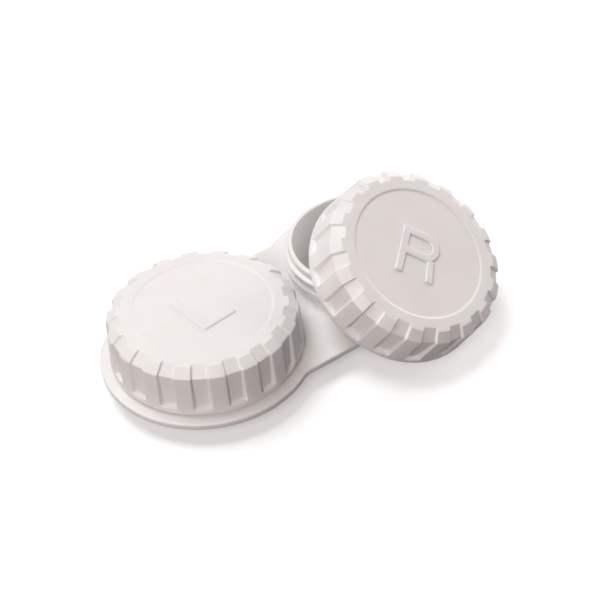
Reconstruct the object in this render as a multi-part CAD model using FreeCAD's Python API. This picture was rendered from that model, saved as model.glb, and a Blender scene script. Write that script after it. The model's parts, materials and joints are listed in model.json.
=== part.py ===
import FreeCAD, Part
import math
import os

# Flat contact lens case: one tray moulding with two threaded wells, and two fluted
# screw caps, each with a soft sealing liner inside.
#
# Frame: millimetres, +X along the case from the left well to the right well,
# +Y away from the user, +Z up. The origin is on the underside of the wells, midway
# between them. The left cap is screwed home. The right cap is off its thread and
# leans on the front of the right neck, with its lower edge on the table.

V = FreeCAD.Vector

# Tray
WELL_SPACING = 33.4         # between the two well axes
PLATE_RADIUS = 18.2         # lobe of the flat plate around each well
PLATE_HALF_WIDTH = 15.5     # straight waist between the lobes
PLATE_BOTTOM = 3.0
PLATE_THICKNESS = 1.2
PLATE_EDGE_ROUND = 0.35
WAIST_FILLET = 4.0          # where the waist runs into a lobe
NECK_TOP = 10.8
NECK_RADIUS = 13.15
LIP_RADIUS = 13.33          # thicker lip around the top of the neck
LIP_HEIGHT = 1.0
LIP_ROUND = 0.3
WELL_MOUTH_RADIUS = 12.5
WELL_MOUTH_ROUND = 0.15
WELL_FLOOR_RADIUS = 11.9
WELL_FLOOR = 1.1
WELL_FLOOR_ROUND = 3.0
WELL_OUTER_ROUND = 2.6      # underside of the well, outside
FOOT_RADIUS = 9.0           # hollow inside the ring that the case stands on
FOOT_HOLLOW = 0.4

# Caps, measured up from the open edge
CAP_HEIGHT = 8.7
CAP_BAND_RADIUS = 16.4      # plain band at the open edge
CAP_BAND_HEIGHT = 1.1
SHOULDER_RADIUS = 16.0
SHOULDER_HEIGHT = 7.4
TOP_RADIUS = 14.3           # flat top face, out to the sloped shoulder
DISH_RADIUS = 12.05         # shallow dish in the top face
DISH_DEPTH = 0.2
DISH_SLOPE = 0.55
FLUTES = 18
FLUTE_FLOOR_RADIUS = 15.62
FLUTE_FLOOR_TOP = 7.18      # where a flute's floor turns in along the sloped shoulder
FLUTE_TOP_RADIUS = 13.6     # where it breaks out through the top face
FLUTE_FLOOR_WIDTH = 2.3
FLUTE_MOUTH_WIDTH = 3.15    # at the band
CAP_BORE_RADIUS = 14.35
CAP_CEILING = 7.1
CAP_SEAT = 4.6              # height of a closed cap's open edge

# Liners
LINER_RADIUS = 14.15
LINER_THICKNESS = 0.8
LINER_GAP = 0.05            # between liner and cap ceiling, and liner and neck
LINER_DISH_RADIUS = 11.0
LINER_DISH_DEPTH = 0.25

CUT_PAST = 1.0              # how far a cutting shape runs past the face that it opens

# Right-handed thread, one start
LEAD = 2.0
RIDGE_ROOT = 1.1
RIDGE_CREST = 0.45
RIDGE_SINK = 0.3            # how far a ridge is rooted into its wall
NECK_RIDGE_CREST_RADIUS = 13.95
NECK_RIDGE_START = 4.95
NECK_RIDGE_ANGLE = -168.0
NECK_RIDGE_TURNS = 2.1
CAP_RIDGE_CREST_RADIUS = 13.6
CAP_RIDGE_START = 0.75      # above the cap's open edge
CAP_RIDGE_TURNS = 1.15
CAP_RIDGE_DROP = 1.0        # how far the cap's ridge runs below the neck's ridge

# Raised eye marks, plain strokes on the top face
MARK_HEIGHT = 9.1
MARK_STROKE = 1.45
MARK_RAISE = 0.3
MARK_SINK = 0.1             # how far a mark is rooted into the face
MARK_DROP = 0.45            # the marks sit a little below the face's centre
L_WIDTH = 6.6
R_WIDTH = 7.3
R_BOWL_RADIUS = 2.66
R_LEG_INSET = 0.15
R_LEG_LEAN = 0.35
LEFT_CAP_TURN = 6.0         # degrees past square that the mark points when screwed home

# Right cap: centre of its open edge, the way its top points, and its turn
RIGHT_CAP_CENTRE = V(15.99, -10.21, 9.36)
RIGHT_CAP_AXIS = V(0.139, -0.553, 0.822)
RIGHT_CAP_TURN = -45.7


def revolve(corners):
    """Turns a closed outline of (radius, height) corners about the Z axis."""
    points = [V(r, 0, z) for r, z in corners]
    face = Part.Face(Part.makePolygon(points + points[:1]))
    return face.revolve(V(0, 0, 0), V(0, 0, 1), 360)


def rounded_edges(solid, radius, height):
    """The circular edges of a turned solid that lie at one radius and height."""
    found = []
    for edge in solid.Edges:
        curve = edge.Curve
        if isinstance(curve, Part.Circle):
            if abs(curve.Radius - radius) < 1e-3 and abs(curve.Center.z - height) < 1e-3:
                found.append(edge)
    return found


def ridge(root_radius, crest_radius, start, angle, turns):
    """A helical thread ridge from a wall at root_radius to crest_radius."""
    path = Part.makeHelix(LEAD, turns * LEAD, root_radius)
    sink = math.copysign(RIDGE_SINK, root_radius - crest_radius)
    foot = RIDGE_ROOT / 2
    crest = RIDGE_CREST / 2
    outline = [
        V(root_radius + sink, 0, -foot),
        V(root_radius, 0, -foot),
        V(crest_radius, 0, -crest),
        V(crest_radius, 0, crest),
        V(root_radius, 0, foot),
        V(root_radius + sink, 0, foot),
    ]
    section = Part.makePolygon(outline + outline[:1])
    solid = Part.Wire(path.Edges).makePipeShell([section], True, True)
    solid.rotate(V(0, 0, 0), V(0, 0, 1), angle)
    solid.translate(V(0, 0, start))
    return solid


def make_well():
    """One well with its threaded neck, about the Z axis."""
    body = revolve([
        (0, FOOT_HOLLOW),
        (FOOT_RADIUS, FOOT_HOLLOW),
        (FOOT_RADIUS, 0),
        (NECK_RADIUS, 0),
        (NECK_RADIUS, NECK_TOP - LIP_HEIGHT),
        (LIP_RADIUS, NECK_TOP - LIP_HEIGHT),
        (LIP_RADIUS, NECK_TOP),
        (0, NECK_TOP),
    ])
    body = body.makeFillet(WELL_OUTER_ROUND, rounded_edges(body, NECK_RADIUS, 0))
    hollow = revolve([
        (0, WELL_FLOOR),
        (WELL_FLOOR_RADIUS, WELL_FLOOR),
        (WELL_MOUTH_RADIUS, NECK_TOP),
        (WELL_MOUTH_RADIUS, NECK_TOP + CUT_PAST),
        (0, NECK_TOP + CUT_PAST),
    ])
    floor_edge = rounded_edges(hollow, WELL_FLOOR_RADIUS, WELL_FLOOR)
    hollow = hollow.makeFillet(WELL_FLOOR_ROUND, floor_edge)
    cup = body.cut(hollow)
    cup = cup.makeFillet(LIP_ROUND, rounded_edges(cup, LIP_RADIUS, NECK_TOP))
    cup = cup.makeFillet(WELL_MOUTH_ROUND, rounded_edges(cup, WELL_MOUTH_RADIUS, NECK_TOP))
    crest = NECK_RIDGE_CREST_RADIUS
    thread = ridge(NECK_RADIUS, crest, NECK_RIDGE_START, NECK_RIDGE_ANGLE, NECK_RIDGE_TURNS)
    return cup.fuse(thread)


def make_plate():
    """The flat figure-eight plate, with a hole where each well passes through it."""
    half = WELL_SPACING / 2
    lobes = [
        Part.makeCylinder(PLATE_RADIUS, PLATE_THICKNESS, V(side * half, 0, PLATE_BOTTOM))
        for side in (-1, 1)
    ]
    waist_corner = V(-half, -PLATE_HALF_WIDTH, PLATE_BOTTOM)
    waist = Part.makeBox(WELL_SPACING, 2 * PLATE_HALF_WIDTH, PLATE_THICKNESS, waist_corner)
    plate = lobes[0].fuse([lobes[1], waist]).removeSplitter()
    reach = half - math.sqrt(PLATE_RADIUS ** 2 - PLATE_HALF_WIDTH ** 2)
    corners = []
    for edge in plate.Edges:
        middle = edge.CenterOfMass
        upright = abs(edge.Length - PLATE_THICKNESS) < 1e-6 and abs(middle.z - PLATE_BOTTOM) > 0.1
        at_corner = abs(abs(middle.x) - reach) < 0.01 and abs(abs(middle.y) - PLATE_HALF_WIDTH) < 0.01
        if upright and at_corner:
            corners.append(edge)
    plate = plate.makeFillet(WAIST_FILLET, corners)
    levels = (PLATE_BOTTOM, PLATE_BOTTOM + PLATE_THICKNESS)
    outline = [e for e in plate.Edges if min(abs(e.CenterOfMass.z - z) for z in levels) < 1e-6]
    plate = plate.makeFillet(PLATE_EDGE_ROUND, outline)
    core_radius = (WELL_MOUTH_RADIUS + NECK_RADIUS) / 2
    cores = [
        Part.makeCylinder(core_radius, NECK_TOP, V(side * half, 0, 0))
        for side in (-1, 1)
    ]
    return plate.cut(cores)


def make_tray():
    """Plate, wells and necks, moulded in one piece."""
    wells = []
    for side in (-1, 1):
        well = make_well()
        well.translate(V(side * WELL_SPACING / 2, 0, 0))
        wells.append(well)
    return make_plate().fuse(wells).removeSplitter()


def flute_cutter():
    """The space of one flute, on the +X side: flared in plan, it stops above the band."""
    outside = CAP_BAND_RADIUS + CUT_PAST
    slope = (CAP_HEIGHT - FLUTE_FLOOR_TOP) / (FLUTE_FLOOR_RADIUS - FLUTE_TOP_RADIUS)
    over_top = (FLUTE_TOP_RADIUS - CUT_PAST / slope, CAP_HEIGHT + CUT_PAST)
    ring = revolve([
        (FLUTE_FLOOR_RADIUS, CAP_BAND_HEIGHT),
        (FLUTE_FLOOR_RADIUS, FLUTE_FLOOR_TOP),
        over_top,
        (outside, over_top[1]),
        (outside, CAP_BAND_HEIGHT),
    ])
    floor_half = FLUTE_FLOOR_WIDTH / 2
    mouth_half = FLUTE_MOUTH_WIDTH / 2
    flare = (mouth_half - floor_half) / (CAP_BAND_RADIUS - FLUTE_FLOOR_RADIUS)
    side = [
        (over_top[0], floor_half),
        (FLUTE_FLOOR_RADIUS, floor_half),
        (outside, mouth_half + flare * CUT_PAST),
    ]
    plan = [V(r, -half, 0) for r, half in side] + [V(r, half, 0) for r, half in reversed(side)]
    wedge = Part.Face(Part.makePolygon(plan + plan[:1])).extrude(V(0, 0, over_top[1]))
    return wedge.common(ring)


def bar(corner, along, across, height):
    """An upright prism on the parallelogram from corner along two plan vectors."""
    points = [corner, corner + along, corner + along + across, corner + across]
    return Part.Face(Part.makePolygon(points + points[:1])).extrude(V(0, 0, height))


def letter_l(height):
    """A plain L, its top towards +Y."""
    corner = V(-L_WIDTH / 2, -MARK_HEIGHT / 2 - MARK_DROP, 0)
    stem = bar(corner, V(MARK_STROKE, 0, 0), V(0, MARK_HEIGHT, 0), height)
    base = bar(corner, V(L_WIDTH, 0, 0), V(0, MARK_STROKE, 0), height)
    return stem.fuse(base).removeSplitter()


def stadium(left, centre, radius, height):
    """A bar of twice the radius from left to a round end about centre."""
    low = centre.y - radius
    straight = bar(V(left, low, 0), V(centre.x - left, 0, 0), V(0, 2 * radius, 0), height)
    return Part.makeCylinder(radius, height, centre).fuse(straight)


def letter_r(height):
    """A plain R with an upright leg, its top towards +Y."""
    left = -R_WIDTH / 2
    foot = -MARK_HEIGHT / 2 - MARK_DROP
    top = foot + MARK_HEIGHT
    bowl_centre = V(R_WIDTH / 2 - R_BOWL_RADIUS, top - R_BOWL_RADIUS, 0)
    stem = bar(V(left, foot, 0), V(MARK_STROKE, 0, 0), V(0, MARK_HEIGHT, 0), height)
    loop = stadium(left, bowl_centre, R_BOWL_RADIUS, height)
    inside = stadium(left + MARK_STROKE, bowl_centre, R_BOWL_RADIUS - MARK_STROKE, height)
    leg_corner = V(R_WIDTH / 2 - MARK_STROKE - R_LEG_INSET, foot, 0)
    leg_height = top - 2 * R_BOWL_RADIUS + MARK_STROKE - foot
    leg = bar(leg_corner, V(MARK_STROKE, 0, 0), V(-R_LEG_LEAN, leg_height, 0), height)
    return loop.cut(inside).fuse([stem, leg]).removeSplitter()


def make_cap(letter):
    """A cap about the Z axis, open edge at height 0, with its eye mark reading up +Y."""
    shell = revolve([
        (CAP_BORE_RADIUS, 0),
        (CAP_BAND_RADIUS, 0),
        (CAP_BAND_RADIUS, CAP_BAND_HEIGHT),
        (SHOULDER_RADIUS, SHOULDER_HEIGHT),
        (TOP_RADIUS, CAP_HEIGHT),
        (DISH_RADIUS, CAP_HEIGHT),
        (DISH_RADIUS - DISH_SLOPE, CAP_HEIGHT - DISH_DEPTH),
        (0, CAP_HEIGHT - DISH_DEPTH),
        (0, CAP_CEILING),
        (CAP_BORE_RADIUS, CAP_CEILING),
    ])
    cutter = flute_cutter()
    cutters = []
    for index in range(FLUTES):
        flute = cutter.copy()
        flute.rotate(V(0, 0, 0), V(0, 0, 1), 90 + index * 360 / FLUTES)
        cutters.append(flute)
    shell = shell.cut(cutters)
    turned = 360 * (CAP_SEAT + CAP_RIDGE_START + CAP_RIDGE_DROP - NECK_RIDGE_START) / LEAD
    start_angle = NECK_RIDGE_ANGLE + turned - LEFT_CAP_TURN
    crest = CAP_RIDGE_CREST_RADIUS
    thread = ridge(CAP_BORE_RADIUS, crest, CAP_RIDGE_START, start_angle, CAP_RIDGE_TURNS)
    mark = letter(MARK_RAISE + MARK_SINK)
    mark.translate(V(0, 0, CAP_HEIGHT - DISH_DEPTH - MARK_SINK))
    return shell.fuse([thread, mark]).removeSplitter()


def make_liner():
    """A sealing disc in the same frame as its cap, with a thicker ring over the neck."""
    top = CAP_CEILING - LINER_GAP
    bottom = top - LINER_THICKNESS
    return revolve([
        (0, bottom + LINER_DISH_DEPTH),
        (LINER_DISH_RADIUS, bottom + LINER_DISH_DEPTH),
        (LINER_DISH_RADIUS + LINER_DISH_DEPTH, bottom),
        (LINER_RADIUS, bottom),
        (LINER_RADIUS, top),
        (0, top),
    ])


def close_on_left(solid):
    """Puts a cap or liner on the left neck, screwed home."""
    solid.rotate(V(0, 0, 0), V(0, 0, 1), LEFT_CAP_TURN)
    solid.translate(V(-WELL_SPACING / 2, 0, CAP_SEAT))
    return solid


def lean_on_right(solid):
    """Puts a cap or liner in the leaning place in front of the right neck."""
    tilt = FreeCAD.Rotation(V(0, 0, 1), RIGHT_CAP_AXIS)
    turn = FreeCAD.Rotation(V(0, 0, 1), RIGHT_CAP_TURN)
    lean = FreeCAD.Placement(RIGHT_CAP_CENTRE, tilt.multiply(turn))
    solid.Placement = lean.multiply(solid.Placement)
    return solid


def main():
    os.makedirs("parts", exist_ok=True)
    nodes = {
        "case_tray": make_tray(),
        "left_cap": close_on_left(make_cap(letter_l)),
        "left_cap_liner": close_on_left(make_liner()),
        "right_cap": lean_on_right(make_cap(letter_r)),
        "right_cap_liner": lean_on_right(make_liner()),
    }
    for name, shape in nodes.items():
        shape.exportStep(f"parts/{name}.step")
        print(name, shape.ShapeType, len(shape.Solids), shape.isValid(), round(shape.Volume, 1))


main()
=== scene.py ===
import json
import math

import bpy
from mathutils import Matrix, Vector


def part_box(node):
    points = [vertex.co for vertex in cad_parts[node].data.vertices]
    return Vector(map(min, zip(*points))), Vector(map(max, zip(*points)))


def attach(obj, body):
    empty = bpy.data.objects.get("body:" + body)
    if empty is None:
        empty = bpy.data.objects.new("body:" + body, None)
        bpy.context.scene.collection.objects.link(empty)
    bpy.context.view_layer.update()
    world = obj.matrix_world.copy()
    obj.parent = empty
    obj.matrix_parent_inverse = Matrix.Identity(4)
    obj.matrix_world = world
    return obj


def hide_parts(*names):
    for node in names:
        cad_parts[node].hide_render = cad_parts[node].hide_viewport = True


# A flat contact lens case in white polypropylene: the tray moulding with its two
# threaded wells, and two fluted caps with a sealing liner in each. Every mesh is
# made in millimetres about its own axis, then placed by the frame in metres.

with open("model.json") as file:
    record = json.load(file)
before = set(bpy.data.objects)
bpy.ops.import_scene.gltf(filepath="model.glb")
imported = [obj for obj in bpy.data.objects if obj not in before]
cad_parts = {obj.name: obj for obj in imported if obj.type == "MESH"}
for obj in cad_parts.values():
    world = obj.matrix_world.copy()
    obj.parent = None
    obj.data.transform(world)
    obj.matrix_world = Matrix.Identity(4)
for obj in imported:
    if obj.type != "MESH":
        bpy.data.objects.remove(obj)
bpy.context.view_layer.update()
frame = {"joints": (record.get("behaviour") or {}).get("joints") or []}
MM = 0.001
JOINTS = {joint["name"]: joint for joint in frame["joints"]}

# Tray. Outlines are (radius, height) from a well's axis.
WELL_X = abs(JOINTS["left_turn"]["pos_m"][0]) / MM
PLATE_RADIUS = 18.19
PLATE_HALF_WIDTH = 15.5
PLATE_BOTTOM = 3.0
PLATE_TOP = 4.2
PLATE_EDGE_ROUND = 0.35
WAIST_FILLET = 4.0
NECK_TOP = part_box("case_tray")[1].z / MM
NECK_RADIUS = 13.15
NECK_FOOT_ROUND = 0.5
LIP_RADIUS = 13.33
LIP_ROUND = 0.3
LIP_SIDE = [(13.33, 10.2), (13.33, 9.98), (13.31, 9.88), (13.24, 9.80), (13.17, 9.74), (13.15, 9.6)]
WELL_FLOOR = 1.1
WELL_FLOOR_RADIUS = 11.9
WELL_FLOOR_ROUND = 3.0
WELL_WALL = [(12.02, 5.5), (12.18, 7.2), (12.33, 8.9), (12.46, 10.3)]
WELL_MOUTH_RADIUS = 12.5
WELL_MOUTH_ROUND = 0.17
WELL_OUTER_ROUND = 2.6
WELL_ROOT = [(13.35, 3.0), (13.22, 2.98), (13.15, 2.9)]       # just under the plate
FOOT_HOLLOW = 0.4
# the inner edge of the foot ring, up to its hollow
FOOT_STEP = [(9.3, 0.0), (9.12, 0.03), (9.0, 0.12), (8.92, 0.32), (8.8, 0.39), (8.6, 0.4)]

# Caps, up from the open edge
FLUTES = 18
BAND_RADIUS = 16.4
BAND_HEIGHT = 1.1
SHOULDER_RADIUS = 16.0
SHOULDER_HEIGHT = 7.4
BEVEL = 53                      # the sloped shoulder faces this many degrees above level
SHOULDER_ROUND = 0.35
SHOULDER_ROUND_INSET = (0.36, 0.11)     # its centre, in and down from the shoulder's corner
TOP_RADIUS = 14.3
RIB_TOP_EDGE = (0.16, 0.45)     # how far in the centre of its round is, and the round
FLUTE_TOP_EDGE = (0.13, 0.35)
FLUTE_FLOOR_RADIUS = 15.62
FLUTE_FLOOR_TOP = 7.18
FLUTE_TOP_RADIUS = 13.6
FLUTE_HALF_WIDTHS = (4.6, 5.3)  # floor and mouth at the top, in degrees
FLUTE_FLARES = (-1.0, 0.2)      # what they gain on the way down
BORE_RADIUS = 14.35
CAP_CEILING = 7.1
CAP_HEIGHT = 8.7
DISH_RADIUS = 12.05
DISH_SLOPE = 0.55
FACE_HEIGHT = 8.5
LEFT_CAP_TURN = 6.0
RIGHT_CAP_TURN = -45.7

# Liners
LINER_TOP = 7.05
LINER_THICKNESS = 0.8
LINER_RADIUS = 14.15
LINER_ROUND = 0.18
LINER_DISH = 0.25
LINER_DISH_STEP = [(11.5, 0.0), (11.3, 0.02), (11.05, 0.22), (10.85, 0.25)]

# Raised marks on the caps
MARK_HEIGHT = 9.1
MARK_STROKE = 1.45
MARK_RAISE = 0.28
MARK_FLANK = 0.27
MARK_CORNER = 0.22
MARK_DROP = 0.45
L_WIDTH = 6.6
R_WIDTH = 7.3
R_BOWL_RADIUS = 2.66
R_LEG_INSET = 0.15
R_LEG_LEAN = 0.35
R_CROTCH = (0.45, 0.3)          # where the leg leaves the bowl, in from the leg and up from the bowl

# Thread. The section is half of a ridge, as (distance from its middle, share of its depth).
LEAD = 2.0
RIDGE_HALF_SECTION = [
    (0.0, 1.0), (0.17, 0.98), (0.27, 0.88), (0.34, 0.62), (0.44, 0.22), (0.55, 0.05), (0.72, 0.0),
]
RIDGE_SINK = 0.08
RIDGE_BACK = {"neck": -0.4, "cap": 0.5}
NECK_RIDGE = {"crest": 13.95, "start": 4.95, "angle": -168.0, "turns": 2.1, "taper": 18}
CAP_RIDGE = {"crest": 13.6, "start": 0.75, "angle": 84.0 - LEFT_CAP_TURN, "turns": 1.15, "taper": 22}

# Camera and studio, metres and degrees
CAMERA_PLACE = (-0.0842, -0.1332, 0.1430)
CAMERA_AZIMUTH = 33.1
CAMERA_ELEVATION = 41.2
CAMERA_ROLL = -4.1
LIGHT_SIZE = 0.35
LIGHT_DISTANCE = 0.6
NEUTRAL = (1, 1, 1)
WARM = (1, 0.925, 0.9)
LIGHTS = (
    ("light_top", 110, 68, 1.9, NEUTRAL),
    ("light_front_left", 225, 40, 1.8, WARM),
    ("light_left", 180, 15, 0.6, WARM),
    ("light_right", 5, 20, 1.7, WARM),
    ("light_back_right", 45, 12, 0.7, WARM),
    ("light_back", 90, 12, 0.5, WARM),
)
FLOOR_SIZE = 30
FLOOR_GAP = 0.00002


# ---------------------------------------------------------------- mesh making

def new_object(name, vertices, faces, place=Matrix.Identity(4)):
    """A smooth-shaded mesh object from points in millimetres, put in the frame by place."""
    mesh = bpy.data.meshes.new(name)
    mesh.from_pydata([tuple(v) for v in vertices], [], faces)
    mesh.transform(place @ Matrix.Scale(MM, 4))
    mesh.validate()
    mesh.update()
    mesh.shade_smooth()
    piece = bpy.data.objects.new(name, mesh)
    bpy.context.scene.collection.objects.link(piece)
    return piece


def skin_rings(rings):
    """Vertices and faces of a closed skin over rings of equal length, with a pole at each end.

    The first and last entries are single points, the others are rings, in order
    from the first pole over the outside to the last pole."""
    vertices = [rings[0]]
    for ring in rings[1:-1]:
        vertices.extend(ring)
    vertices.append(rings[-1])
    count = len(rings[1])
    levels = len(rings) - 2
    last = len(vertices) - 1
    faces = []
    for column in range(count):
        after = (column + 1) % count
        faces.append((0, 1 + column, 1 + after))
        for level in range(levels - 1):
            a = 1 + level * count
            b = a + count
            faces.append((a + column, b + column, b + after, a + after))
        a = 1 + (levels - 1) * count
        faces.append((a + column, last, a + after))
    return vertices, faces


def arc_at(centre, radius, angles):
    """Points of a round in a (radius, height) profile, at angles in degrees."""
    turns = [math.radians(angle) for angle in angles]
    return [(centre[0] + radius * math.cos(t), centre[1] + radius * math.sin(t)) for t in turns]


def arc(centre, radius, start, end, steps):
    """Points of a round at even steps, both ends included, angles in degrees."""
    return arc_at(centre, radius, [start + (end - start) * step / steps for step in range(steps + 1)])


def line(start, end, steps):
    """Points strictly between two profile points."""
    return [
        tuple(a + (b - a) * step / steps for a, b in zip(start, end))
        for step in range(1, steps)
    ]


def turned(profile, angles):
    """Rings of a plain turned profile of (radius, height) points."""
    return [
        [(r * math.cos(a), r * math.sin(a), z) for a in angles]
        for r, z in profile
    ]


def thread_ridge(wall, root, crest, start, angle, turns, taper):
    """A helical ridge with rounded flanks, whose ends run out into the wall.

    wall is "neck" or "cap", root and crest are radii, start is the height of the
    ridge's middle where it begins, angle is where it begins, and taper is the
    length of each run-out, in degrees."""
    inward = crest < root
    sink = RIDGE_SINK if inward else -RIDGE_SINK
    section = [(-along, out) for along, out in RIDGE_HALF_SECTION[:0:-1]] + RIDGE_HALF_SECTION
    steps = int(turns * 200)
    vertices = []
    for step in range(steps + 1):
        turn = turns * 360 * step / steps
        run_out = min(turn, turns * 360 - turn) / taper
        grown = math.sin(min(run_out, 1.0) * math.pi / 2) ** 0.8 if run_out > 0 else 0.0
        spread = 0.35 + 0.65 * grown
        around = math.radians(angle + turn)
        middle = start + LEAD * turn / 360
        for along, out in section:
            r = root + sink + (crest - root - sink) * out * grown
            vertices.append((r * math.cos(around), r * math.sin(around), middle + along * spread))
        back = root + RIDGE_BACK[wall]
        vertices.append((back * math.cos(around), back * math.sin(around), middle))
    width = len(section) + 1
    faces = []
    for step in range(steps):
        a = step * width
        b = a + width
        for i in range(width):
            j = (i + 1) % width
            faces.append((a + i, b + i, b + j, a + j))
    faces.append(tuple(range(width)))
    faces.append(tuple(range(steps * width, (steps + 1) * width))[::-1])
    if inward:
        faces = [face[:1] + face[:0:-1] for face in faces]
    return vertices, faces


def joined(*parts):
    """One list of vertices and faces from several."""
    vertices, faces = [], []
    for more_vertices, more_faces in parts:
        base = len(vertices)
        vertices.extend(more_vertices)
        faces.extend(tuple(base + i for i in face) for face in more_faces)
    return vertices, faces


# ---------------------------------------------------------------- caps

def wall_columns():
    """Places across one flute from its middle to the middle of a rib, as (zone, place, depth share).

    Zone 0 is the floor, 1 the wall and 2 the rib, and place runs from 0 to 1 across each.
    The depth share is 1 on the floor and 0 on the rib, with small rounds between."""
    floor = [(0, 0.0, 1.0), (0, 0.45, 1.0), (0, 0.85, 1.0), (0, 1.0, 0.995)]
    wall = [
        (1, 0.12, 0.96), (1, 0.24, 0.86), (1, 0.38, 0.68), (1, 0.5, 0.5),
        (1, 0.62, 0.32), (1, 0.76, 0.14), (1, 0.88, 0.04),
    ]
    rib = [(2, 0.0, 0.005), (2, 0.12, 0.0), (2, 0.5, 0.0), (2, 1.0, 0.0)]
    return floor + wall + rib


def flute_ring(rib, floor, floor_half, mouth_half):
    """One ring round the cap, from (radius, height) on the ribs and on the flute floors.

    floor_half and mouth_half are the half widths of the floor and mouth, in degrees."""
    pitch_half = 180 / FLUTES
    spans = ((0.0, floor_half), (floor_half, mouth_half), (mouth_half, pitch_half))
    half = []
    for zone, place, share in wall_columns():
        start, end = spans[zone]
        half.append((start + (end - start) * place, share))
    whole = half + [(2 * pitch_half - offset, share) for offset, share in half[-2:0:-1]]
    ring = []
    for flute in range(FLUTES):
        for offset, share in whole:
            angle = math.radians(90 + 2 * pitch_half * flute + offset)
            r = rib[0] + (floor[0] - rib[0]) * share
            z = rib[1] + (floor[1] - rib[1]) * share
            ring.append((r * math.cos(angle), r * math.sin(angle), z))
    return ring


def cap_shoulder(top_radius, top_edge, radius, height, last):
    """Profile from the top face over the sloped shoulder to the side wall, last degrees above level."""
    edge_inset, edge_round = top_edge
    inset, drop = SHOULDER_ROUND_INSET
    edge = arc((top_radius - edge_inset, CAP_HEIGHT - edge_round), edge_round, 90, BEVEL, 5)
    shoulder = arc((radius - inset, height - drop), SHOULDER_ROUND, BEVEL, last, 6)
    return edge + line(edge[-1], shoulder[0], 7) + shoulder


def cap_outside():
    """Rows of the cap's outside from the dish down to the band, as flute_ring arguments."""
    top = [(12.6, CAP_HEIGHT), (12.9, CAP_HEIGHT)]
    rib = top + [(13.3, CAP_HEIGHT), (13.75, CAP_HEIGHT)]
    rib += cap_shoulder(TOP_RADIUS, RIB_TOP_EDGE, SHOULDER_RADIUS, SHOULDER_HEIGHT, 3)
    floor = top + [(13.1, CAP_HEIGHT), (13.3, CAP_HEIGHT)]
    floor += cap_shoulder(FLUTE_TOP_RADIUS, FLUTE_TOP_EDGE, FLUTE_FLOOR_RADIUS, FLUTE_FLOOR_TOP, 0)
    low_rib, low_floor = rib[-1][1], floor[-1][1]
    cone = (BAND_RADIUS - rib[-1][0]) / (low_rib - BAND_HEIGHT)
    for share in (0.12, 0.35, 0.6, 0.82):
        height = low_rib + (BAND_HEIGHT - low_rib) * share
        rib.append((rib[-1][0] + cone * (rib[-1][1] - height), height))
        floor.append((FLUTE_FLOOR_RADIUS, low_floor + (BAND_HEIGHT - low_floor) * share))
    for rise in (0.42, 0.34, 0.27, 0.2, 0.13, 0.07, 0.0, -0.1):
        rib.append((BAND_RADIUS - cone * rise, BAND_HEIGHT + rise))
    floor.append((FLUTE_FLOOR_RADIUS, BAND_HEIGHT + 0.40))
    floor += arc((FLUTE_FLOOR_RADIUS + 0.2, BAND_HEIGHT + 0.28), 0.2, 180, 258, 3)
    floor.append((16.1, BAND_HEIGHT + 0.05))
    floor += arc((BAND_RADIUS - 0.16, BAND_HEIGHT - 0.12), 0.16, 80, 10, 2)
    rows = []
    for rib_point, floor_point in zip(rib, floor):
        down = (CAP_HEIGHT - floor_point[1]) / (CAP_HEIGHT - BAND_HEIGHT)
        widths = [half + flare * down for half, flare in zip(FLUTE_HALF_WIDTHS, FLUTE_FLARES)]
        rows.append((rib_point, floor_point, *widths))
    return rows


def cap_inside():
    """Profile from the band down, round the open edge and up the bore to the ceiling."""
    profile = [(BAND_RADIUS, 0.55), (BAND_RADIUS, 0.26)]
    profile += arc((BAND_RADIUS - 0.2, 0.2), 0.2, 0, -90, 5)
    profile += [(15.6, 0.0), (14.8, 0.0)]
    profile += arc((BORE_RADIUS + 0.25, 0.25), 0.25, -90, -180, 5)
    profile += [(BORE_RADIUS, height) for height in (0.4, 2.6, 4.8, 6.8)]
    profile += arc((BORE_RADIUS - 0.2, CAP_CEILING - 0.2), 0.2, 0, 90, 4)
    profile += [(radius, CAP_CEILING) for radius in (12.0, 8.0, 3.0)]
    return profile


# ---------------------------------------------------------------- eye marks

def rounded(corners, radius):
    """A closed outline with its corners cut to small rounds. A corner given as (x, y, 0) stays sharp."""
    points = []
    for index, corner in enumerate(corners):
        here = Vector(corner[:2])
        if len(corner) == 3:
            points.append(here)
            continue
        before = Vector(corners[index - 1][:2])
        after = Vector(corners[(index + 1) % len(corners)][:2])
        start = here + (before - here).normalized() * radius
        end = here + (after - here).normalized() * radius
        for step in range(5):
            t = step / 4
            points.append(start * (1 - t) ** 2 + here * 2 * t * (1 - t) + end * t ** 2)
    return points


def round_end(centre, radius, start, end, steps):
    """Points of a bowl, marked as smooth, angles in degrees."""
    return [(x, y, 0) for x, y in arc(centre, radius, start, end, steps)]


def letter_l():
    """Outline of a plain L, its top towards +Y."""
    left, right = -L_WIDTH / 2, L_WIDTH / 2
    foot = -MARK_HEIGHT / 2 - MARK_DROP
    top = foot + MARK_HEIGHT
    inner = left + MARK_STROKE
    corners = [
        (left, foot),
        (left, top),
        (inner, top),
        (inner, foot + MARK_STROKE),
        (right, foot + MARK_STROKE),
        (right, foot),
    ]
    return [rounded(corners, MARK_CORNER)]


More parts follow.
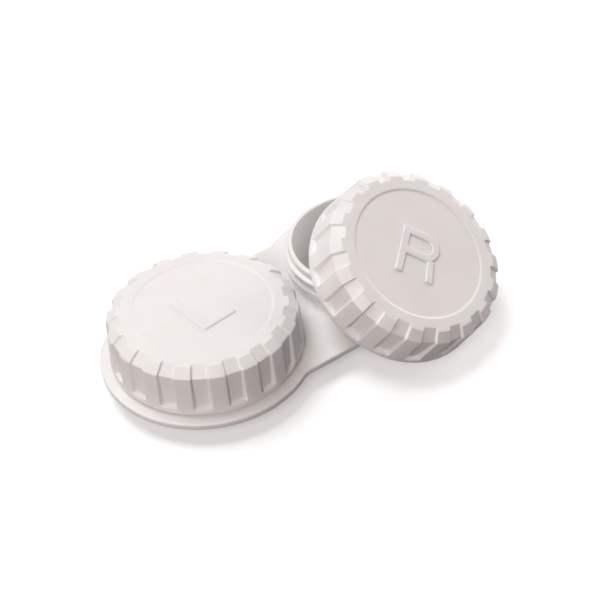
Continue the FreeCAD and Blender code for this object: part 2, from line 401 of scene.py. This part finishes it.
def letter_r():
    """Outline of a plain R with an upright leg, and the outline of its counter."""
    left, right = -R_WIDTH / 2, R_WIDTH / 2
    foot = -MARK_HEIGHT / 2 - MARK_DROP
    top = foot + MARK_HEIGHT
    inner = left + MARK_STROKE
    bowl = (right - R_BOWL_RADIUS, top - R_BOWL_RADIUS)
    bowl_foot = top - 2 * R_BOWL_RADIUS
    leg = right - R_LEG_INSET
    outside = [(left, foot), (left, top)] + round_end(bowl, R_BOWL_RADIUS, 90, -52, 24)
    outside += [
        (leg - R_CROTCH[0], bowl_foot + R_CROTCH[1]),
        (leg, foot),
        (leg - MARK_STROKE, foot),
        (leg - MARK_STROKE - R_LEG_LEAN, bowl_foot),
        (inner, bowl_foot),
        (inner, foot),
    ]
    counter_radius = R_BOWL_RADIUS - MARK_STROKE
    counter = [(inner, bowl[1] - counter_radius)] + round_end(bowl, counter_radius, -90, 90, 20)
    counter += [(inner, bowl[1] + counter_radius)]
    return [rounded(outside, MARK_CORNER), rounded(counter, MARK_CORNER)]


def mark_mesh(outlines):
    """Vertices and faces of a raised mark with soft flanks, standing on the cap's face."""
    curve = bpy.data.curves.new("mark", "CURVE")
    curve.dimensions = "2D"
    curve.fill_mode = "BOTH"
    curve.bevel_depth = MARK_FLANK
    curve.bevel_resolution = 3
    curve.offset = -MARK_FLANK
    curve.extrude = MARK_RAISE - MARK_FLANK
    for outline in outlines:
        spline = curve.splines.new("POLY")
        spline.points.add(len(outline) - 1)
        for point, (x, y) in zip(spline.points, outline):
            point.co = (x, y, 0, 1)
        spline.use_cyclic_u = True
    holder = bpy.data.objects.new("mark", curve)
    bpy.context.scene.collection.objects.link(holder)
    depsgraph = bpy.context.evaluated_depsgraph_get()
    mesh = bpy.data.meshes.new_from_object(holder.evaluated_get(depsgraph))
    vertices = [(v.co.x, v.co.y, v.co.z + FACE_HEIGHT) for v in mesh.vertices]
    faces = [tuple(p.vertices) for p in mesh.polygons]
    bpy.data.objects.remove(holder)
    bpy.data.curves.remove(curve)
    bpy.data.meshes.remove(mesh)
    return vertices, faces


def dish_profile():
    """The shallow dish in the top face, from near its middle out over its soft step."""
    profile = [(radius, FACE_HEIGHT) for radius in (2.0, 5.0, 8.5, 10.6, 11.2)]
    steps = 10
    for step in range(steps + 1):
        share = step / steps
        rise = (1 - math.cos(math.pi * share)) / 2
        radius = DISH_RADIUS - DISH_SLOPE + DISH_SLOPE * share
        profile.append((radius, FACE_HEIGHT + (CAP_HEIGHT - FACE_HEIGHT) * rise))
    return profile + [(12.3, CAP_HEIGHT)]


def cap_mesh(outlines):
    """The whole cap about the Z axis, its open edge at height 0 and its mark's top towards +Y."""
    rows = cap_outside()
    flat = [math.atan2(y, x) for x, y, _ in flute_ring(*rows[0])]
    rings = [(0.0, 0.0, FACE_HEIGHT)]
    rings += turned(dish_profile(), flat)
    rings += [flute_ring(*row) for row in rows]
    upright = [math.atan2(y, x) for x, y, _ in flute_ring(*rows[-1])]
    rings += turned(cap_inside(), upright)
    rings.append((0.0, 0.0, CAP_CEILING))
    ridge = thread_ridge("cap", BORE_RADIUS, **CAP_RIDGE)
    return joined(skin_rings(rings), ridge, mark_mesh(outlines))


def liner_mesh():
    """The sealing disc, in the same place in its cap as the CAD liner."""
    angles = [math.radians(2 * step) for step in range(180)]
    top = LINER_TOP
    bottom = top - LINER_THICKNESS
    dish = bottom + LINER_DISH
    rim = LINER_RADIUS - LINER_ROUND
    profile = [(6.0, top), (12.5, top), (13.9, top)]
    profile += arc((rim, top - LINER_ROUND), LINER_ROUND, 90, 0, 4)
    profile += arc((rim, bottom + LINER_ROUND), LINER_ROUND, 0, -90, 4)
    profile += [(13.2, bottom), (12.2, bottom)]
    profile += [(radius, bottom + rise) for radius, rise in LINER_DISH_STEP]
    profile += [(8.0, dish), (3.0, dish)]
    return skin_rings([(0.0, 0.0, top)] + turned(profile, angles) + [(0.0, 0.0, dish)])


# ---------------------------------------------------------------- tray

def outline_reach(angle, inset):
    """Distance from a well's axis to the plate's outline, moved in by inset.

    The angle is measured from the direction away from the other well. Returns the
    distance, or None where the way leads to the middle of the case instead."""
    turn = abs((angle + math.pi) % (2 * math.pi) - math.pi)
    fillet_y = PLATE_HALF_WIDTH + WAIST_FILLET
    fillet_x = -math.sqrt((PLATE_RADIUS + WAIST_FILLET) ** 2 - fillet_y ** 2)
    if turn <= math.atan2(fillet_y, fillet_x):
        return PLATE_RADIUS - inset
    radius = WAIST_FILLET + inset
    along = fillet_x * math.cos(turn) + fillet_y * math.sin(turn)
    off = fillet_x ** 2 + fillet_y ** 2 - radius ** 2
    if turn <= math.atan2(PLATE_HALF_WIDTH - inset, fillet_x):
        return along - math.sqrt(max(along ** 2 - off, 0.0))
    if turn <= math.atan2(PLATE_HALF_WIDTH - inset, -WELL_X) + 1e-6:
        return (PLATE_HALF_WIDTH - inset) / math.sin(turn)
    return None


def middle_reach(angle):
    """Distance from a well's axis to the plane midway between the wells."""
    return WELL_X / -math.cos(angle)


def tray_columns():
    """Angles of the columns round a well, with one exactly at each end of the middle line."""
    corner = math.atan2(PLATE_HALF_WIDTH - PLATE_EDGE_ROUND, -WELL_X)
    outer = 226
    inner = 62
    angles = [-corner + 2 * corner * step / outer for step in range(outer + 1)]
    gap = 2 * math.pi - 2 * corner
    angles += [corner + gap * step / inner for step in range(1, inner)]
    return angles, outer


def well_profile():
    """A well from near the middle of its floor up its wall, over the lip and down to the plate."""
    floor_centre = (WELL_FLOOR_RADIUS - WELL_FLOOR_ROUND, WELL_FLOOR + WELL_FLOOR_ROUND)
    mouth_centre = (WELL_MOUTH_RADIUS + WELL_MOUTH_ROUND, NECK_TOP - WELL_MOUTH_ROUND)
    lip_centre = (LIP_RADIUS - LIP_ROUND, NECK_TOP - LIP_ROUND)
    foot_centre = (NECK_RADIUS + NECK_FOOT_ROUND, PLATE_TOP + NECK_FOOT_ROUND)

    profile = [(radius, WELL_FLOOR) for radius in (3.0, 6.0, 8.0)]
    profile += arc(floor_centre, WELL_FLOOR_ROUND, -90, 0, 9)
    profile += WELL_WALL
    profile += arc(mouth_centre, WELL_MOUTH_ROUND, 180, 90, 4)
    profile += arc_at(lip_centre, LIP_ROUND, (90, 68, 45, 23, 0))
    profile += LIP_SIDE
    profile += [(NECK_RADIUS, height) for height in (8.4, 7.2, 6.0, 5.0)]
    profile += arc_at(foot_centre, NECK_FOOT_ROUND, (180, 202, 225, 247, 270))
    return profile


def underside_profile():
    """The outside of a well from the underside of the plate down to its foot and its hollow."""
    round_centre = (NECK_RADIUS - WELL_OUTER_ROUND, WELL_OUTER_ROUND)
    profile = WELL_ROOT + arc(round_centre, WELL_OUTER_ROUND, 0, -90, 9)
    return profile + FOOT_STEP + [(5.0, FOOT_HOLLOW), (2.0, FOOT_HOLLOW)]


def plate_ring(angles, share, height, inner_radius):
    """A ring on a face of the plate, at a share of the way from inner_radius to its edge."""
    ring = []
    for angle in angles:
        reach = outline_reach(angle, PLATE_EDGE_ROUND) or middle_reach(angle)
        r = inner_radius + (reach - inner_radius) * share
        ring.append((r * math.cos(angle), r * math.sin(angle), height))
    return ring


def edge_ring(angles, outer, inset, height):
    """A ring round the plate's edge, with None in the columns that face the other well."""
    ring = []
    for index, angle in enumerate(angles):
        if index > outer:
            ring.append(None)
        elif index in (0, outer):
            side = -1 if index == 0 else 1
            ring.append((-WELL_X, side * (PLATE_HALF_WIDTH - inset), height))
        else:
            reach = outline_reach(angle, inset) or outline_reach(angle, PLATE_EDGE_ROUND)
            ring.append((reach * math.cos(angle), reach * math.sin(angle), height))
    return ring


def edge_profile():
    """The rounded edge of the plate from top to bottom, as (inset, height)."""
    outline = arc((0, PLATE_TOP - PLATE_EDGE_ROUND), PLATE_EDGE_ROUND, 90, 0, 6)[1:]
    outline += arc((0, PLATE_BOTTOM + PLATE_EDGE_ROUND), PLATE_EDGE_ROUND, 0, -90, 6)[:-1]
    return [(PLATE_EDGE_ROUND - out, height) for out, height in outline]


def tray_half():
    """Vertices and faces of the half of the tray on one side, about that side's well axis.

    The well is at the origin and the other well lies towards -X. The half is open
    along the middle plane, where the other half joins it."""
    angles, outer = tray_columns()
    inside, outside = well_profile(), underside_profile()
    shares = (0.12, 0.3, 0.55, 0.8, 0.93, 1.0)
    rings = [(0.0, 0.0, WELL_FLOOR)] + turned(inside, angles)
    rings += [plate_ring(angles, share, PLATE_TOP, inside[-1][0]) for share in shares]
    edge_start = len(rings) - 1
    rings += [edge_ring(angles, outer, inset, height) for inset, height in edge_profile()]
    edge_end = len(rings)
    rings += [plate_ring(angles, share, PLATE_BOTTOM, outside[0][0]) for share in reversed(shares)]
    rings += turned(outside, angles)
    rings.append((0.0, 0.0, FOOT_HOLLOW))

    vertices = [rings[0]]
    index_of = [[0] * len(angles)]
    for ring in rings[1:-1]:
        row = []
        for point in ring:
            row.append(len(vertices) if point else None)
            if point:
                vertices.append(point)
        index_of.append(row)
    vertices.append(rings[-1])
    last = len(vertices) - 1
    faces = []
    for column in range(len(angles)):
        after = (column + 1) % len(angles)
        faces.append((0, index_of[1][column], index_of[1][after]))
        for level in range(1, len(index_of) - 1):
            upper, lower = index_of[level], index_of[level + 1]
            quad = (upper[column], lower[column], lower[after], upper[after])
            across_middle = edge_start <= level < edge_end and column >= outer
            if None not in quad and not across_middle:
                faces.append(quad)
        faces.append((index_of[-1][column], last, index_of[-1][after]))
    return vertices, faces


def tray_mesh():
    """Both halves of the tray and both neck threads, in the row frame."""
    vertices, faces = tray_half()
    right = [(x + WELL_X, y, z) for x, y, z in vertices]
    left = [(-x - WELL_X, -y, z) for x, y, z in vertices]
    ridge_vertices, ridge_faces = thread_ridge("neck", NECK_RADIUS, **NECK_RIDGE)
    ridges = [
        ([(x + side * WELL_X, y, z) for x, y, z in ridge_vertices], ridge_faces)
        for side in (-1, 1)
    ]
    return joined((right, faces), (left, faces), *ridges)


def make_tray():
    """The tray's object, its two halves welded along the middle plane."""
    tray = new_object("tray_moulding", *tray_mesh())
    weld = tray.modifiers.new("weld", "WELD")
    weld.merge_threshold = 0.000004
    depsgraph = bpy.context.evaluated_depsgraph_get()
    mesh = bpy.data.meshes.new_from_object(tray.evaluated_get(depsgraph))
    tray.modifiers.clear()
    tray.data = mesh
    return tray


# ---------------------------------------------------------------- placing

def left_place():
    """Where the left cap is, screwed home."""
    pos = Vector(JOINTS["left_turn"]["pos_m"])
    return Matrix.Translation(pos) @ Matrix.Rotation(math.radians(LEFT_CAP_TURN), 4, "Z")


def right_place():
    """Where the right cap is, leaning on its neck."""
    pos = Vector(JOINTS["right_turn"]["pos_m"])
    tilt = Vector((0, 0, 1)).rotation_difference(Vector(JOINTS["right_turn"]["axis"]))
    turn = Matrix.Rotation(math.radians(RIGHT_CAP_TURN), 4, "Z")
    return Matrix.Translation(pos) @ tilt.to_matrix().to_4x4() @ turn


# ---------------------------------------------------------------- materials

def new_material(name):
    """A material with its nodes and links."""
    material = bpy.data.materials.new(name)
    material.use_nodes = True
    return material, material.node_tree.nodes, material.node_tree.links


def noise(nodes, links, coordinates, scale, detail, roughness=0.5):
    """A noise texture whose features are about 1 / scale metres across."""
    texture = nodes.new("ShaderNodeTexNoise")
    texture.inputs["Scale"].default_value = scale
    texture.inputs["Detail"].default_value = detail
    texture.inputs["Roughness"].default_value = roughness
    links.new(coordinates, texture.inputs["Vector"])
    return texture.outputs["Fac"]


def mapped(nodes, links, value, low, high, to_low, to_high):
    """value stretched from one range to another and clamped."""
    spread = nodes.new("ShaderNodeMapRange")
    spread.inputs["From Min"].default_value = low
    spread.inputs["From Max"].default_value = high
    spread.inputs["To Min"].default_value = to_low
    spread.inputs["To Max"].default_value = to_high
    links.new(value, spread.inputs["Value"])
    return spread.outputs["Result"]


def mixed(nodes, links, share, first, second):
    """A colour between two colours, each a colour socket or a fixed colour."""
    mix = nodes.new("ShaderNodeMix")
    mix.data_type = "RGBA"
    links.new(share, mix.inputs["Factor"])
    for socket, value in zip((mix.inputs[6], mix.inputs[7]), (first, second)):
        if isinstance(value, tuple):
            socket.default_value = value
        else:
            links.new(value, socket)
    return mix.outputs[2]


def scratches(nodes, links, place, turn):
    """Thin straight handling marks in one direction: 1 on a mark and 0 elsewhere."""
    stretch = nodes.new("ShaderNodeMapping")
    stretch.inputs["Rotation"].default_value = (0.2, 0.3, math.radians(turn))
    stretch.inputs["Scale"].default_value = (70, 3200, 700)
    links.new(place, stretch.inputs["Vector"])
    streaks = noise(nodes, links, stretch.outputs["Vector"], 1, 1)
    return mapped(nodes, links, streaks, 0.66, 0.73, 0, 1)


def bump(nodes, links, height, strength, depth, normal=None):
    """A bump of a depth in metres, over an earlier bump if there is one."""
    relief = nodes.new("ShaderNodeBump")
    relief.inputs["Strength"].default_value = strength
    relief.inputs["Distance"].default_value = depth
    links.new(height, relief.inputs["Height"])
    if normal:
        links.new(normal, relief.inputs["Normal"])
    return relief.outputs["Normal"]


def clouded_colour(nodes, links, place, white, shade, recess_shade):
    """White with faint clouds of a slightly darker white, and a little painted shade in the tight
    recesses.
    """
    cloud = mapped(nodes, links, noise(nodes, links, place, 160, 4), 0.35, 0.65, 0, 1)
    colour = mixed(nodes, links, cloud, white, shade)
    # painted shade: where ambient occlusion finds a tight recess, the colour is mixed towards a darker
    # warm grey
    occlusion = nodes.new("ShaderNodeAmbientOcclusion")
    occlusion.samples = 8
    occlusion.inputs["Distance"].default_value = 0.0005
    hollow = mapped(nodes, links, occlusion.outputs["AO"], 0.3, 0.8, 0.3, 0)
    return mixed(nodes, links, hollow, colour, recess_shade)


def handled_gloss(nodes, links, place, marks, roughness):
    """A roughness that varies with handling, and is duller on the marks."""
    handling = noise(nodes, links, place, 700, 4, 0.65)
    dulled = mapped(nodes, links, handling, 0.3, 0.7, roughness - 0.05, roughness + 0.07)
    worn = nodes.new("ShaderNodeMath")
    worn.operation = "MULTIPLY_ADD"
    worn.inputs[1].default_value = 0.14
    links.new(marks, worn.inputs[0])
    links.new(dulled, worn.inputs[2])
    return worn.outputs["Value"]


def moulded_plastic(name, white, shade, recess_shade, roughness, grain_strength):
    """A satin moulding: faint clouds, fine grain, handling marks and painted shade in the tight
    recesses.
    """
    material, nodes, links = new_material(name)
    shader = nodes["Principled BSDF"]
    place = nodes.new("ShaderNodeTexCoord").outputs["Object"]
    links.new(clouded_colour(nodes, links, place, white, shade, recess_shade), shader.inputs["Base Color"])

    crossed = nodes.new("ShaderNodeMath")
    crossed.operation = "MAXIMUM"
    links.new(scratches(nodes, links, place, 24), crossed.inputs[0])
    links.new(scratches(nodes, links, place, 113), crossed.inputs[1])
    marks = crossed.outputs["Value"]
    links.new(handled_gloss(nodes, links, place, marks, roughness), shader.inputs["Roughness"])

    normal = bump(nodes, links, noise(nodes, links, place, 5200, 2, 0.6), grain_strength, 0.00005)
    normal = bump(nodes, links, marks, 0.25, 0.000004, normal)
    normal = bump(nodes, links, noise(nodes, links, place, 260, 1), 0.12, 0.0001, normal)
    links.new(normal, shader.inputs["Normal"])

    shader.inputs["IOR"].default_value = 1.49
    shader.inputs["Subsurface Weight"].default_value = 0.3
    shader.inputs["Subsurface Radius"].default_value = (1.0, 0.88, 0.82)
    shader.inputs["Subsurface Scale"].default_value = 0.0004
    return material


def white_polypropylene():
    """The plastic of the tray and the caps."""
    white = (0.88, 0.874, 0.87, 1)
    shade = (0.855, 0.847, 0.843, 1)
    # the darker warm grey painted into the tight recesses as shade
    recess_shade = (0.72, 0.66, 0.64, 1)
    return moulded_plastic("white_polypropylene", white, shade, recess_shade, 0.42, 0.1)


def liner_foam():
    """The soft sealing discs, duller and coarser than the plastic."""
    white = (0.74, 0.74, 0.72, 1)
    shade = (0.69, 0.69, 0.67, 1)
    # the darker warm grey painted into the tight recesses as shade
    recess_shade = (0.55, 0.53, 0.51, 1)
    return moulded_plastic("liner_foam", white, shade, recess_shade, 0.68, 0.35)


def studio_paper():
    """The pale floor, lit a little from within so that it stays pale to its far edge."""
    material, nodes, _ = new_material("pale_floor")
    shader = nodes["Principled BSDF"]
    shader.inputs["Base Color"].default_value = (0.9, 0.925, 0.935, 1)
    shader.inputs["Roughness"].default_value = 0.9
    shader.inputs["Emission Color"].default_value = (1, 1, 1, 1)
    shader.inputs["Emission Strength"].default_value = 0.3
    return material


# ---------------------------------------------------------------- pieces

def finish_piece(piece, body, node, material):
    """Gives a piece its material and the body that it rides on, and hides the CAD node that it stands
    for.
    """
    piece.data.materials.clear()
    piece.data.materials.append(material)
    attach(piece, body)
    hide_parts(node)


def make_case():
    """The tray, both caps and both liners."""
    plastic = white_polypropylene()
    foam = liner_foam()
    finish_piece(make_tray(), "tray", "case_tray", plastic)
    sides = (("left", left_place(), letter_l), ("right", right_place(), letter_r))
    for side, place, letter in sides:
        cap = new_object(f"{side}_cap_shell", *cap_mesh(letter()), place)
        finish_piece(cap, f"{side}_lid", f"{side}_cap", plastic)
    for side, place, _ in sides:
        liner = new_object(f"{side}_liner_disc", *liner_mesh(), place)
        finish_piece(liner, f"{side}_seal", f"{side}_cap_liner", foam)


# ---------------------------------------------------------------- camera and studio

def make_camera():
    """The camera at the photograph's viewing angle."""
    data = bpy.data.cameras.new("camera")
    data.lens = 72
    data.sensor_width = 36
    camera = bpy.data.objects.new("camera", data)
    bpy.context.scene.collection.objects.link(camera)
    camera.location = CAMERA_PLACE
    azimuth = math.radians(CAMERA_AZIMUTH)
    elevation = math.radians(CAMERA_ELEVATION)
    level = math.cos(elevation)
    forward = Vector((math.sin(azimuth) * level, math.cos(azimuth) * level, -math.sin(elevation)))
    upright = forward.to_track_quat("-Z", "Y").to_matrix().to_4x4()
    roll = Matrix.Rotation(math.radians(CAMERA_ROLL), 4, "Z")
    camera.matrix_world = Matrix.Translation(camera.location) @ upright @ roll
    bpy.context.scene.camera = camera


def soft_light(name, azimuth, elevation, power, colour):
    """A round soft light on a dome about the case, aimed at it, angles in degrees."""
    data = bpy.data.lights.new(name, "AREA")
    data.shape = "DISK"
    data.size = LIGHT_SIZE
    data.energy = power
    data.color = colour
    lamp = bpy.data.objects.new(name, data)
    bpy.context.scene.collection.objects.link(lamp)
    around = Matrix.Rotation(math.radians(azimuth), 4, "Z")
    down = Matrix.Rotation(math.radians(90 - elevation), 4, "Y")
    lamp.matrix_world = around @ down @ Matrix.Translation((0, 0, LIGHT_DISTANCE))


def make_floor():
    """A plain pale floor just under the case, which gives the case no bounced light."""
    bpy.ops.mesh.primitive_plane_add(size=FLOOR_SIZE)
    floor = bpy.context.object
    floor.name = "floor"
    floor.location.z = -FLOOR_GAP
    floor.data.materials.append(studio_paper())
    floor.visible_diffuse = False


def make_studio():
    """The floor, a dim warm surround and a dome of soft lights, the strongest high at the back."""
    make_floor()
    world = bpy.data.worlds.new("studio")
    bpy.context.scene.world = world
    world.use_nodes = True
    surround = world.node_tree.nodes["Background"]
    surround.inputs["Color"].default_value = (1, 0.6, 0.52, 1)
    surround.inputs["Strength"].default_value = 0.03
    for name, azimuth, elevation, power, colour in LIGHTS:
        soft_light(name, azimuth, elevation, power, colour)
    bpy.context.scene.view_settings.view_transform = "Standard"


make_case()
make_camera()
make_studio()
